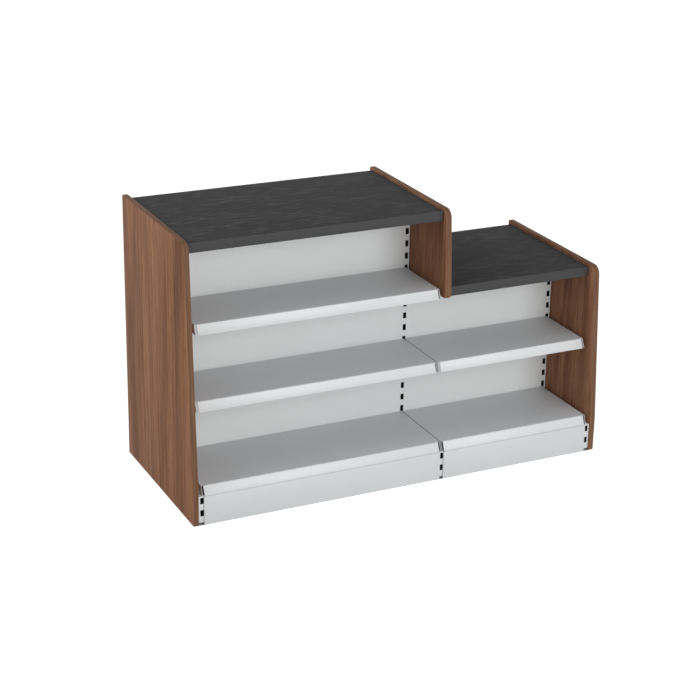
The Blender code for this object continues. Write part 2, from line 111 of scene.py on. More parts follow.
class CounterSizes(bpy.types.PropertyGroup):
    """Sizes of the counter's details."""

    knee: length("Knee", "Height where the boards' front edges start to lean", 0.144)
    lean: length("Lean", "How far the boards lean back at the highest board's top", 0.066)
    front_corner: length("Front corner", "Radius of the boards' top front corners", 0.036)
    rear_corner: length("Rear corner", "Radius of the boards' top rear corners", 0.006)
    foot_corner: length("Foot corner", "Radius of the end boards' bottom corners", 0.003)
    step_corner: length("Step corner", "Radius of the step board's bottom corners", 0.025)
    board_edge: length("Board edge", "Rounding of the boards' edging", 0.002)
    top_edge: length("Top edge", "Rounding of the counter tops' edging", 0.0015)
    slot_width: length("Slot width", "Width of a bracket slot", 0.0136)
    slot_height: length("Slot height", "Height of a bracket slot", 0.025)
    slot_pitch: length("Slot pitch", "Distance from one bracket slot to the next", 0.050)
    first_slot: length("First slot", "Height of the lowest upright slot's middle", 0.065)
    tube_wall: length("Tube wall", "Wall of the box sections", 0.002)
    tube_corner: length("Tube corner", "Outer corner radius of the box sections", 0.003)
    sheet: length("Sheet", "Thickness of the folded sheet", 0.0012)
    bend: length("Bend", "Outer radius of a fold in the sheet", 0.0014)
    tray_rise: length("Tray rise", "Height of a tray's top over a slot's middle", 0.003)
    lip_drop: length("Lip drop", "Height of the trays' lips and skirts", 0.036)
    lip_lean: length("Lip lean", "How far the trays' lips lean forward", 0.0165)
    lip_notch: length("Lip notch", "Where a lip starts, from the end of its tray", 0.0085)
    rail_head: length("Rail head", "Bare lip above a ticket rail", 0.0015)
    rail_reach: length("Rail reach", "How far a ticket rail reaches past the foot of its lip", 0.0007)
    rail_back: length("Rail back", "Thickness of a ticket rail's back", 0.0013)
    rail_bead: length("Rail bead", "Height of a ticket rail's holding beads", 0.003)


class CounterColours(bpy.types.PropertyGroup):
    """Colours of the counter's finishes."""

    walnut_light: paint("Walnut light", "Pale bands of the walnut print", "#a5795d")
    walnut_dark: paint("Walnut dark", "Dark bands of the walnut print", "#7a5542")
    walnut_pore: paint("Walnut pore", "Pore lines of the walnut print", "#4f3427")
    walnut_edge: paint("Walnut edge", "Pale lines of the walnut edge band", "#8b6b54")
    charcoal: paint("Charcoal", "Ground of the counter tops' print", "#424243")
    charcoal_fleck: paint("Charcoal fleck", "Pale flecks of the counter tops' print", "#5a5a5b")
    light_coat: paint("Light coat", "Powder coat of posts and backs", "#ced0d0")
    plinth_coat: paint("Plinth coat", "Powder coat of the plinths", "#cccecf")
    grey_coat: paint("Grey coat", "Powder coat of trays and brackets", "#ccced0")
    ticket_white: paint("Ticket white", "Extruded ticket rails", "#d5d7d8")
    zinc: paint("Zinc", "Galvanised and plated steel", "#a6a9ab")
    # Near black: real mill scale, darkened further as painted shade inside the posts, legs and slots
    scale: paint("Scale", "Bare steel inside the posts and legs", "#1c1c1e")
    black: paint("Black", "Moulded feet", "#161617")


# Modelling

def near(value, spot):
    return abs(value - spot) < TOUCH


def at(axis, spot):
    """Test for elements that lie wholly at one place along an axis."""
    return lambda corners: all(near(corner[axis], spot) for corner in corners)


def within(axis, low, high):
    """Test for elements that lie wholly inside a span along an axis."""
    return lambda corners: all(low - TOUCH < corner[axis] < high + TOUCH for corner in corners)


def along(axis):
    """Test for edges that run along an axis."""
    others = [other for other in (X, Y, Z) if other != axis]
    return lambda ends: all(near(ends[0][other], ends[1][other]) for other in others)


def pick(kind, *tests):
    """Selects, in edit mode, the vertices, edges or faces that pass every test of their corners' places."""
    bpy.ops.mesh.select_mode(type=kind)
    bpy.ops.mesh.select_all(action="DESELECT")
    mesh = bpy.context.edit_object.data
    shape = bmesh.from_edit_mesh(mesh)
    elements = {"VERT": shape.verts, "EDGE": shape.edges, "FACE": shape.faces}[kind]
    chosen = []
    for element in elements:
        corners = [element.co] if kind == "VERT" else [vertex.co for vertex in element.verts]
        if all(test(corners) for test in tests):
            chosen.append(element)
    if not chosen:
        raise RuntimeError(f"{bpy.context.edit_object.name} has nothing to pick there")
    for element in chosen:
        element.select_set(True)
    shape.select_flush_mode()
    bmesh.update_edit_mesh(mesh)


def edit():
    bpy.ops.object.mode_set(mode="EDIT")


def leave():
    bpy.ops.object.mode_set(mode="OBJECT")


def take(piece):
    """Makes one piece the only selected and active object."""
    bpy.ops.object.select_all(action="DESELECT")
    piece.select_set(True)
    bpy.context.view_layer.objects.active = piece


def place(name, low, high):
    """Names the new primitive and sizes it to two corners, with its place in its mesh."""
    piece = bpy.context.active_object
    piece.name = name
    piece.data.name = name
    low, high = Vector(low), Vector(high)
    piece.scale = [size or 1.0 for size in high - low]
    piece.location = (low + high) / 2
    bpy.ops.object.transform_apply(location=True, rotation=True, scale=True)
    return piece


def add_block(name, low, high):
    bpy.ops.object.select_all(action="DESELECT")
    bpy.ops.mesh.primitive_cube_add(size=1.0)
    return place(name, low, high)


def add_sheet(name, low, high):
    bpy.ops.object.select_all(action="DESELECT")
    bpy.ops.mesh.primitive_plane_add(size=1.0)
    return place(name, low, high)


def add_bar(name, middle, radius, low, high, sides):
    """Upright bar about a point in plan, between two heights."""
    bpy.ops.object.select_all(action="DESELECT")
    bpy.ops.mesh.primitive_cylinder_add(vertices=sides, radius=0.5, depth=1.0)
    corners = [(middle.x + side * radius, middle.y + side * radius, end) for side, end in ((-1, low), (1, high))]
    return place(name, *corners)


def bisect(axis, spot):
    """Cuts the selected faces across at a place along an axis."""
    normal = Vector()
    normal[axis] = 1.0
    bpy.ops.mesh.bisect(plane_co=normal * spot, plane_no=normal)


def slice_through(axis, *spots):
    """Cuts the whole piece across at places along an axis."""
    for spot in spots:
        bpy.ops.mesh.select_all(action="SELECT")
        bisect(axis, spot)


def shift(x, y, z):
    """Moves what is picked."""
    bpy.ops.transform.translate(value=(x, y, z))


def extrude(x, y, z):
    """Draws the picked faces out."""
    bpy.ops.mesh.extrude_region_move(TRANSFORM_OT_translate={"value": (x, y, z)})


def fold_from(x, y, z):
    """Draws the picked edges of a sheet out into a further face."""
    bpy.ops.mesh.extrude_edges_move(TRANSFORM_OT_translate={"value": (x, y, z)})


def round_off(width, segments):
    """Rounds the picked edges."""
    bpy.ops.mesh.bevel(offset=width, segments=segments, affect="EDGES")


def apply(piece, kind, **settings):
    """Adds a modifier to a piece and applies it."""
    take(piece)
    modifier = piece.modifiers.new(kind.title(), kind)
    for name, value in settings.items():
        setattr(modifier, name, value)
    bpy.ops.object.modifier_apply(modifier=modifier.name)


def soften(piece, width, segments):
    apply(piece, "BEVEL", width=width, segments=segments, limit_method="ANGLE", angle_limit=SHARP)


def thicken(piece, sheet):
    apply(piece, "SOLIDIFY", thickness=sheet, offset=-1.0, use_even_offset=True)


def cut_out(piece, tool):
    """Takes a tool's shape out of a piece and removes the tool."""
    apply(piece, "BOOLEAN", operation="DIFFERENCE", solver="EXACT", object=tool)
    if not piece.data.polygons:
        raise RuntimeError(f"{piece.name} was cut away")
    bpy.data.objects.remove(tool, do_unlink=True)


def copy_to(piece, name, offset):
    """A copy of a piece with its own mesh, moved by an offset."""
    twin = piece.copy()
    twin.data = piece.data.copy()
    twin.name = name
    twin.data.name = name
    bpy.context.scene.collection.objects.link(twin)
    twin.location = offset
    take(twin)
    bpy.ops.object.transform_apply(location=True, rotation=True, scale=True)
    return twin


def hand_over(piece, node, slot, *finishes):
    """Shades and finishes a piece, and lets it stand for its CAD node on the node's body."""
    take(piece)
    bpy.ops.object.shade_smooth_by_angle(angle=SMOOTH)
    piece.data.materials.clear()
    for finish in finishes:
        piece.data.materials.append(finish)
    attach(piece, frame["nodes"][node]["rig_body"])
    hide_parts(node)


def make_tube(name, low, high, axis, wall, corner):
    """Box section: a block with rounded long edges, whose inset ends are bridged into a bore."""
    tube = add_block(name, low, high)
    edit()
    pick("EDGE", along(axis))
    round_off(corner, 3)
    pick("FACE", lambda corners: at(axis, low[axis])(corners) or at(axis, high[axis])(corners))
    bpy.ops.mesh.inset(thickness=wall)
    bpy.ops.mesh.bridge_edge_loops()
    leave()
    return tube


def mark_bore(tube, low, high):
    """Gives the faces inside a box section its second finish, near-black mill scale that also paints the shade inside.
    """
    skin, upright = 0.0005, 0.5
    for face in tube.data.polygons:
        inside = [low[axis] + skin < face.center[axis] < high[axis] - skin for axis in (X, Y, Z)]
        if inside[X] and inside[Y] and (inside[Z] or abs(face.normal.z) < upright):
            face.material_index = 1


def mark_edging(board, axis):
    """Gives the faces round a board its second finish, and leaves the first on those that face along an axis."""
    facing = 0.7
    for face in board.data.polygons:
        if abs(face.normal[axis]) < facing:
            face.material_index = 1


def make_slot_cutter(middle, low, high, first, count, sizes):
    """Row of round-cornered slots, from depth low to high, the lowest about the height first."""
    corner = 0.0015
    half_width, half_height = sizes.slot_width / 2, sizes.slot_height / 2
    cutter = add_block(
        "slots", (middle - half_width, low, first - half_height), (middle + half_width, high, first + half_height)
    )
    edit()
    pick("EDGE", along(Y))
    round_off(corner, 3)
    leave()
    apply(cutter, "ARRAY", count=count, use_relative_offset=False, use_constant_offset=True,
          constant_offset_displace=(0.0, 0.0, sizes.slot_pitch))
    return cutter


# Finishes

def add_node(tree, kind, settings=None, links=None):
    """Adds a node with its settings, by attribute or socket, and its links."""
    node = tree.nodes.new(kind)
    for name, value in (settings or {}).items():
        if isinstance(name, int) or name in node.inputs:
            node.inputs[name].default_value = value
        else:
            setattr(node, name, value)
    for name, source in (links or {}).items():
        tree.links.new(source, node.inputs[name])
    return node


def start_finish(name, settings):
    """A material with a shader and an output, and the Object coordinates its patterns read."""
    finish = bpy.data.materials.new(name)
    finish.use_nodes = True
    tree = finish.node_tree
    tree.nodes.clear()
    shader = add_node(tree, "ShaderNodeBsdfPrincipled", settings)
    add_node(tree, "ShaderNodeOutputMaterial", links={"Surface": shader.outputs[0]})
    coordinates = add_node(tree, "ShaderNodeTexCoord").outputs["Object"]
    return finish, tree, shader, coordinates


def dress(tree, shader, tints, share, sheen, pattern, relief=None):
    """Leads two tints mixed by a share, and a pattern's roughness range and relief, to the shader."""
    first, second = [(*tint, 1.0) for tint in tints]
    ground = add_node(tree, "ShaderNodeMix", {"data_type": "RGBA", 6: first, 7: second}, {0: share})
    tree.links.new(ground.outputs[2], shader.inputs["Base Color"])
    rough = add_node(tree, "ShaderNodeMapRange", {"To Min": sheen[0], "To Max": sheen[1]}, {"Value": pattern})
    tree.links.new(rough.outputs[0], shader.inputs["Roughness"])
    if relief:
        bump = add_node(tree, "ShaderNodeBump", {"Strength": relief[0], "Distance": relief[1]}, {"Height": pattern})
        tree.links.new(bump.outputs[0], shader.inputs["Normal"])


def toned(colour, *factors):
    """A colour with its channels times one factor, or each times its own."""
    return [channel * factor for channel, factor in zip(colour, factors * (3 // len(factors)))]


def make_walnut_laminate(colours):
    # Melamine-faced board, a walnut photo print pressed under a satin plate: straight bands and pore lines along
    # the board's height, with no relief to speak of and a soft, even sheen.
    finish, tree, shader, place_on = start_finish("walnut_melamine_pressed_satin", {"Specular IOR Level": 0.01})
    # Bands about 90 mm wide that wander and fade along the board's height, moved to where the print is palest on top
    spread = add_node(tree, "ShaderNodeMapping",
                      {"Scale": (1 / 0.09, 1 / 0.09, 1 / 0.9), "Location": (35.0, 0.0, 6.5)}, {"Vector": place_on})
    bands = add_node(tree, "ShaderNodeTexNoise", {"Scale": 1.0, "Detail": 2.0, "Roughness": 0.5, "Distortion": 0.5},
                     {"Vector": spread.outputs[0]})
    # Streaks about 12 mm wide and 350 mm long
    spread = add_node(tree, "ShaderNodeMapping", {"Scale": (1 / 0.012, 1 / 0.012, 1 / 0.35)}, {"Vector": place_on})
    streaks = add_node(tree, "ShaderNodeTexNoise", {"Scale": 1.0, "Detail": 3.0, "Roughness": 0.6, "Distortion": 0.15},
                       {"Vector": spread.outputs[0]})
    # Pore lines, 0.3 mm wide on the real print and drawn 5 mm wide so that they show, about 70 mm long
    spread = add_node(tree, "ShaderNodeMapping", {"Scale": (1 / 0.005, 1 / 0.005, 1 / 0.07)}, {"Vector": place_on})
    pores = add_node(tree, "ShaderNodeTexNoise", {"Scale": 1.0, "Detail": 1.0}, {"Vector": spread.outputs[0]})
    share = add_node(tree, "ShaderNodeMapRange", {"From Min": 0.26, "From Max": 0.72}, {"Value": bands.outputs[0]})
    fine = add_node(tree, "ShaderNodeMapRange", {"From Min": 0.3, "From Max": 0.7, "To Min": -0.42, "To Max": 0.42},
                    {"Value": streaks.outputs[0]})
    tone = add_node(tree, "ShaderNodeMath", {"operation": "ADD", "use_clamp": True},
                    {0: share.outputs[0], 1: fine.outputs[0]})
    ground = add_node(tree, "ShaderNodeMix",
                      {"data_type": "RGBA", 6: (*colours.walnut_dark, 1.0), 7: (*colours.walnut_light, 1.0)},
                      {0: tone.outputs[0]})
    lines = add_node(tree, "ShaderNodeMapRange", {"From Min": 0.56, "From Max": 0.76, "To Max": 0.45},
                     {"Value": pores.outputs[0]})
    print_ = add_node(tree, "ShaderNodeMix", {"data_type": "RGBA", 7: (*colours.walnut_pore, 1.0)},
                      {0: lines.outputs[0], 6: ground.outputs[2]})
    tree.links.new(print_.outputs[2], shader.inputs["Base Color"])
    sheen = add_node(tree, "ShaderNodeMapRange", {"To Min": 0.42, "To Max": 0.54}, {"Value": streaks.outputs[0]})
    tree.links.new(sheen.outputs[0], shader.inputs["Roughness"])
    relief = add_node(tree, "ShaderNodeBump", {"Strength": 0.12, "Distance": 0.0003}, {"Height": pores.outputs[0]})
    tree.links.new(relief.outputs[0], shader.inputs["Normal"])
    return finish


def make_walnut_edging(colours):
    # ABS edge band with a walnut print, ironed on: a shade darker than the board's faces, with straight lines along
    # its length.
    finish, tree, shader, place_on = start_finish("walnut_abs_edge_band", {"Specular IOR Level": 0.03})
    # Lines, 0.5 mm on the real band and drawn 4 mm wide so that they show, about 300 mm long
    spread = add_node(tree, "ShaderNodeMapping", {"Scale": (1 / 0.004, 1 / 0.3, 1 / 0.3)}, {"Vector": place_on})
    lines = add_node(tree, "ShaderNodeTexNoise", {"Scale": 1.0, "Detail": 2.0}, {"Vector": spread.outputs[0]})
    share = add_node(tree, "ShaderNodeMapRange", {"From Min": 0.3, "From Max": 0.7, "To Min": 0.25, "To Max": 0.75},
                     {"Value": lines.outputs[0]})
    tints = colours.walnut_pore, colours.walnut_edge
    dress(tree, shader, tints, share.outputs[0], (0.4, 0.52), lines.outputs[0])
    return finish


def make_charcoal_laminate(colours):
    # High-pressure laminate with a slate print, pressed under a textured plate: short pale flecks along the
    # counter, a dull sheen and a fine pressed grit.
    finish, tree, shader, place_on = start_finish("charcoal_laminate_pressed_slate", {"Specular IOR Level": 0.012})
    # Flecks about 60 mm long and 8 mm wide
    spread = add_node(tree, "ShaderNodeMapping", {"Scale": (1 / 0.060, 1 / 0.008, 1 / 0.008)}, {"Vector": place_on})
    flecks = add_node(tree, "ShaderNodeTexNoise", {"Scale": 1.0, "Detail": 3.0, "Roughness": 0.6, "Distortion": 0.15},
                      {"Vector": spread.outputs[0]})
    # Clouds about 250 mm long that gather the flecks
    spread = add_node(tree, "ShaderNodeMapping", {"Scale": (1 / 0.25, 1 / 0.08, 1 / 0.08)}, {"Vector": place_on})
    clouds = add_node(tree, "ShaderNodeTexNoise", {"Scale": 1.0, "Detail": 1.0}, {"Vector": spread.outputs[0]})
    # Pressed grit, 0.5 mm on the real plate and drawn at 2 mm so that it shows
    grit = add_node(tree, "ShaderNodeTexNoise", {"Scale": 1 / 0.002, "Detail": 2.0}, {"Vector": place_on})
    gather = add_node(tree, "ShaderNodeMapRange",
                      {"From Min": 0.35, "From Max": 0.65, "To Min": -0.05, "To Max": 0.05},
                      {"Value": clouds.outputs[0]})
    sum_ = add_node(tree, "ShaderNodeMath", {"operation": "ADD"}, {0: flecks.outputs[0], 1: gather.outputs[0]})
    share = add_node(tree, "ShaderNodeMapRange", {"From Min": 0.50, "From Max": 0.74}, {"Value": sum_.outputs[0]})
    tints = colours.charcoal, colours.charcoal_fleck
    dress(tree, shader, tints, share.outputs[0], (0.5, 0.66), grit.outputs[0], (0.15, 0.0004))
    return finish


def make_charcoal_edging(colours):
    # ABS edge band, extruded and ironed on: the laminate's ground colour without its flecks, with faint lines along
    # its length.
    finish, tree, shader, place_on = start_finish("charcoal_abs_edge_band", {"Specular IOR Level": 0.05})
    # Extrusion lines, under 1 mm on the real band and drawn 3 mm apart so that they show
    spread = add_node(tree, "ShaderNodeMapping", {"Scale": (1 / 0.5, 1 / 0.003, 1 / 0.003)}, {"Vector": place_on})
    lines = add_node(tree, "ShaderNodeTexNoise", {"Scale": 1.0, "Detail": 1.0}, {"Vector": spread.outputs[0]})
    share = add_node(tree, "ShaderNodeMapRange", {"To Min": 0.0, "To Max": 0.35}, {"Value": lines.outputs[0]})
    tints = colours.charcoal, colours.charcoal_fleck
    dress(tree, shader, tints, share.outputs[0], (0.42, 0.55), lines.outputs[0])
    return finish


def make_powder_coat(name, colour):
    # Mild steel sheet, sprayed with polyester powder and baked: an even colour whose slight orange peel breaks up
    # the soft gloss.
    finish, tree, shader, place_on = start_finish(name, {"Specular IOR Level": 0.45})
    # Orange peel, 1 mm on the real coat and drawn at 3 mm so that it shows
    peel = add_node(tree, "ShaderNodeTexNoise", {"Scale": 1 / 0.003, "Detail": 1.0}, {"Vector": place_on})
    # Cloudy film thickness about 120 mm across
    film = add_node(tree, "ShaderNodeTexNoise", {"Scale": 1 / 0.12, "Detail": 2.0}, {"Vector": place_on})
    tints = toned(colour, 0.965), colour
    dress(tree, shader, tints, film.outputs[0], (0.36, 0.48), peel.outputs[0], (0.06, 0.0004))
    return finish


def make_ticket_pvc(colours):
    # Rigid white PVC, extruded in lengths: a smooth semi-gloss with faint die lines along the rail.
    finish, tree, shader, place_on = start_finish("white_pvc_extruded", {"Specular IOR Level": 0.3})
    # Die lines, 0.3 mm on the real rail and drawn 2 mm apart so that they show
    spread = add_node(tree, "ShaderNodeMapping", {"Scale": (1 / 0.6, 1 / 0.002, 1 / 0.002)}, {"Vector": place_on})
    lines = add_node(tree, "ShaderNodeTexNoise", {"Scale": 1.0, "Detail": 1.0}, {"Vector": spread.outputs[0]})
    tints = toned(colours.ticket_white, 0.96), colours.ticket_white
    dress(tree, shader, tints, lines.outputs[0], (0.28, 0.4), lines.outputs[0])
    return finish


def make_galvanised_steel(colours):
    # Hot-dip galvanised steel tube: frozen zinc crystals that catch the light one by one, dull where they weathered.
    finish, tree, shader, place_on = start_finish("steel_hot_dip_galvanised", {"Metallic": 1.0})
    # Zinc crystals about 9 mm across
    crystals = add_node(tree, "ShaderNodeTexVoronoi", {"Scale": 1 / 0.009}, {"Vector": place_on})
    bright = add_node(tree, "ShaderNodeRGBToBW", links={"Color": crystals.outputs["Color"]})
    tints = toned(colours.zinc, 0.72), colours.zinc
    dress(tree, shader, tints, bright.outputs[0], (0.36, 0.6), bright.outputs[0])
    return finish


def make_mill_scale_and_painted_shade(colours):
    # Hot-rolled steel tube, bare inside where the powder does not reach: blue-black mill scale, darkened to near
    # black as painted shade so that the slots look black.
    finish, tree, shader, place_on = start_finish("steel_mill_scale_and_painted_shade", {"Specular IOR Level": 0.1})
    # Scale patches about 15 mm across
    patches = add_node(tree, "ShaderNodeTexNoise", {"Scale": 1 / 0.015, "Detail": 2.0}, {"Vector": place_on})
    tints = colours.scale, toned(colours.scale, 1.8)
    dress(tree, shader, tints, patches.outputs[0], (0.6, 0.8), patches.outputs[0])
    return finish


def make_plated_thread(colours):
    # Steel stud, rolled and zinc plated: bright grey with a slight blue passivation bloom.
    finish, tree, shader, place_on = start_finish("steel_zinc_plated", {"Metallic": 1.0})
    # Passivation bloom about 4 mm across
    bloom = add_node(tree, "ShaderNodeTexNoise", {"Scale": 1 / 0.004, "Detail": 2.0}, {"Vector": place_on})
    tints = toned(colours.zinc, 0.86, 0.92, 1.0), colours.zinc
    dress(tree, shader, tints, bloom.outputs[0], (0.25, 0.42), bloom.outputs[0])
    return finish


def make_black_nylon(colours):
    # Injection-moulded nylon: near black with a fine spark-eroded grain that keeps it dull.
    finish, tree, shader, place_on = start_finish("black_nylon_moulded", {"Specular IOR Level": 0.45})
    # Mould grain, 0.2 mm on the real pad and drawn at 0.8 mm so that it shows
    grain = add_node(tree, "ShaderNodeTexNoise", {"Scale": 1 / 0.0008, "Detail": 1.0}, {"Vector": place_on})
    tints = colours.black, toned(colours.black, 1.5)
    dress(tree, shader, tints, grain.outputs[0], (0.5, 0.7), grain.outputs[0], (0.2, 0.0002))
    return finish


# Pieces

class SHOP_COUNTER_OT_boards(bpy.types.Operator):
    """Model the walnut end boards and the step board"""

    bl_idname = "shop_counter.boards"
    bl_label = "Boards"

    def execute(self, context):
        sizes = context.scene.counter_sizes
        colours = context.scene.counter_colours
        laminate, edging = make_walnut_laminate(colours), make_walnut_edging(colours)
        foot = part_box("end_panel_left")[0].y
        slope = sizes.lean / (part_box("end_panel_left")[1].z - sizes.knee)
        for node, corner in (
            ("end_panel_left", sizes.foot_corner),
            ("end_panel_right", sizes.foot_corner),
            ("step_panel", sizes.step_corner),
        ):
            low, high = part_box(node)
            low.y = foot + max(0.0, low.z - sizes.knee) * slope
            front_top = foot + (high.z - sizes.knee) * slope
            board = add_block(f"{node}.board", low, high)
            edit()
            if low.z < sizes.knee:
                slice_through(Z, sizes.knee)
            pick("VERT", at(Y, low.y), at(Z, high.z))
            shift(0.0, front_top - low.y, 0.0)
            # The front corner is a little wider than square, so its bevel reaches a little less than its radius
            reach = sizes.front_corner * math.tan(math.pi / 4 - math.atan(slope) / 2)
            for spot, height, width, segments in (
                (front_top, high.z, reach, 10),
                (high.y, high.z, sizes.rear_corner, 8),
                (low.y, low.z, corner, 8),
                (high.y, low.z, corner, 8),
            ):
                pick("EDGE", along(X), at(Y, spot), at(Z, height))
                round_off(width, segments)
            leave()
            soften(board, sizes.board_edge, 3)
            hand_over(board, node, "walnut_laminate", laminate, edging)
            mark_edging(board, X)
        return {"FINISHED"}


class SHOP_COUNTER_OT_counter_tops(bpy.types.Operator):
    """Model the two laminate counter tops with their edge bands"""

    bl_idname = "shop_counter.counter_tops"
    bl_label = "Counter tops"

    def execute(self, context):
        sizes = context.scene.counter_sizes
        colours = context.scene.counter_colours
        laminate, edging = make_charcoal_laminate(colours), make_charcoal_edging(colours)
        groove_inset, groove_width, groove_slope, groove_depth = 0.020, 0.005, 0.001, 0.003
        for node in ("counter_top_high", "counter_top_low"):
            low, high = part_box(node)
            board = add_block(f"{node}.board", low, high)
            soften(board, sizes.top_edge, 3)
            edit()
            # A drip groove along the underside, behind the front edge
            start = low.y + groove_inset
            end = start + groove_width
            slice_through(Y, start, end)
            pick("FACE", at(Z, low.z), within(Y, start, end))
            bpy.ops.mesh.inset(thickness=groove_slope)
            shift(0.0, 0.0, groove_depth)
            leave()
            hand_over(board, node, "charcoal_laminate", laminate, edging)
            mark_edging(board, Z)
        return {"FINISHED"}


class SHOP_COUNTER_OT_uprights(bpy.types.Operator):
    """Model the three slotted uprights"""

    bl_idname = "shop_counter.uprights"
    bl_label = "Uprights"

    def execute(self, context):
        sizes = context.scene.counter_sizes
        colours = context.scene.counter_colours
        finish = make_powder_coat("light_steel_powder_coated", colours.light_coat)
        # Near-black mill scale inside the posts: partly real scale, partly painted shade in the bore and slots
        scale = make_mill_scale_and_painted_shade(colours)
        end_margin = 0.006
        for node in (f"upright_{side}" for side in SIDES):
            low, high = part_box(node)
            post = make_tube(f"{node}.post", low, high, Z, sizes.tube_wall, sizes.tube_corner)
            room = high.z - end_margin - sizes.slot_height / 2 - sizes.first_slot
            count = int(room / sizes.slot_pitch) + 1
            middle = (low.x + high.x) / 2
            cutter = make_slot_cutter(middle, low.y - OVERRUN, high.y + OVERRUN, sizes.first_slot, count, sizes)
            cut_out(post, cutter)
            hand_over(post, node, "light_steel", finish, scale)
            mark_bore(post, low, high)
        return {"FINISHED"}


class SHOP_COUNTER_OT_legs(bpy.types.Operator):
    """Model the base legs, slotted in front and open towards the uprights"""

    bl_idname = "shop_counter.legs"
    bl_label = "Base legs"

    def execute(self, context):
        sizes = context.scene.counter_sizes
        finish = bpy.data.materials["light_steel_powder_coated"]
        # The same near-black scale inside the legs, partly painted shade
        scale = bpy.data.materials["steel_mill_scale_and_painted_shade"]
        end_edge, slot_drop, hole_radius = 0.0008, 0.018, 0.0043
        wall = sizes.tube_wall
        for node in (f"{end}_leg_{side}" for end in ENDS for side in SIDES):
            low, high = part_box(node)
            forward = node.startswith("front")
            leg = add_block(f"{node}.leg", low, high)
            closed, opened = (low.y, high.y) if forward else (high.y, low.y)
            depth = closed - opened
            edit()
            pick("EDGE", along(Y))
            round_off(sizes.tube_corner, 3)
            pick("FACE", at(Y, opened))
            bpy.ops.mesh.inset(thickness=wall)
            extrude(0.0, depth - math.copysign(wall, depth), 0.0)
            pick("EDGE", at(Y, closed))
            round_off(end_edge, 2)
            leave()
            foot_low, foot_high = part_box(node.replace("leg", "foot"))
            middle = (foot_low + foot_high) / 2
            cut_out(leg, add_bar("stem_hole", middle, hole_radius, low.z - wall, low.z + 2 * wall, 32))
            if forward:
                first = high.z - slot_drop - sizes.slot_pitch
                cut_out(leg, make_slot_cutter(middle.x, low.y - wall, low.y + 2 * wall, first, 2, sizes))
            hand_over(leg, node, "light_steel", finish, scale)
            mark_bore(leg, low, high)
        return {"FINISHED"}


class SHOP_COUNTER_OT_feet(bpy.types.Operator):
    """Model one levelling foot and copy it under every leg"""

    bl_idname = "shop_counter.feet"
    bl_label = "Levelling feet"

    def execute(self, context):
        colours = context.scene.counter_colours
        nylon, plated = make_black_nylon(colours), make_plated_thread(colours)
        pad_height, pad_edge, crown_slope, crown_rise = 0.007, 0.0012, 0.003, 0.0008
        rim_width, hollow_slope, hollow_rise = 0.0025, 0.0008, 0.0006
        nut_radius, nut_low, nut_high, nut_edge = 0.0062, 0.0004, 0.0026, 0.0003
        stem_radius, stem_low, pitch, root = 0.004, 0.002, 0.00125, 0.84
        nodes = [f"{end}_foot_{side}" for end in ENDS for side in SIDES]
        low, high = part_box(nodes[0])
        home = (low + high) / 2
        pad_top = low.z + pad_height
        pad = add_bar(f"{nodes[0]}.pad", home, (high.x - low.x) / 2, low.z, pad_top, 48)
        edit()
        # A raised crown on top, and a shallow hollow inside a flat rim below
        pick("FACE", at(Z, pad_top))
        bpy.ops.mesh.inset(thickness=crown_slope)
        shift(0.0, 0.0, crown_rise)
        pick("FACE", at(Z, low.z))
        bpy.ops.mesh.inset(thickness=rim_width)
        bpy.ops.mesh.inset(thickness=hollow_slope)
        shift(0.0, 0.0, hollow_rise)
        leave()
        soften(pad, pad_edge, 3)
        # Hexagon above the pad, for a spanner
        nut = add_bar("nut", home, nut_radius, pad_top + nut_low, pad_top + nut_high, 6)
        soften(nut, nut_edge, 2)
        # Stud whose thread is drawn as rings, one pitch apart
        start = pad_top + stem_low
        stem = add_bar("stem", home, stem_radius, start, high.z, 32)
        edit()
        for ring in range(1, int((high.z - start) / pitch)):
            height = start + ring * pitch
            slice_through(Z, height, height + pitch / 2)
            pick("VERT", at(Z, height))
            bpy.ops.transform.resize(value=(root, root, 1.0), center_override=(home.x, home.y, height))
        leave()
        for piece, mark in ((pad, 0), (nut, 1), (stem, 1)):
            piece.data.materials.append(nylon)
            piece.data.materials.append(plated)
            piece.data.polygons.foreach_set("material_index", [mark] * len(piece.data.polygons))
        take(pad)
        nut.select_set(True)
        stem.select_set(True)
        bpy.ops.object.join()
        feet = [pad]
        for node in nodes[1:]:
            spot = sum(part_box(node), Vector()) / 2
            feet.append(copy_to(pad, f"{node}.pad", spot - home))
        for node, foot in zip(nodes, feet):
            marks = [face.material_index for face in foot.data.polygons]
            hand_over(foot, node, "black_plastic", nylon, plated)
            foot.data.polygons.foreach_set("material_index", marks)
        return {"FINISHED"}


class SHOP_COUNTER_OT_rails(bpy.types.Operator):
    """Model the ties between the uprights and the bearers under the counter tops"""

    bl_idname = "shop_counter.rails"
    bl_label = "Ties and bearers"

    def execute(self, context):
        sizes = context.scene.counter_sizes
        finish = make_galvanised_steel(context.scene.counter_colours)
        tie_wall = 0.0015
        ties = [f"tie_{level}_{bay}" for level in ("bottom", "top") for bay in ("left", "right")]
        for node in ties + HIGH_BEARERS + LOW_BEARERS:
            low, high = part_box(node)
            axis, wall = (X, tie_wall) if node in ties else (Y, sizes.tube_wall)
            tube = make_tube(f"{node}.tube", low, high, axis, wall, sizes.tube_corner)
            hand_over(tube, node, "galvanised_steel", finish)
        return {"FINISHED"}


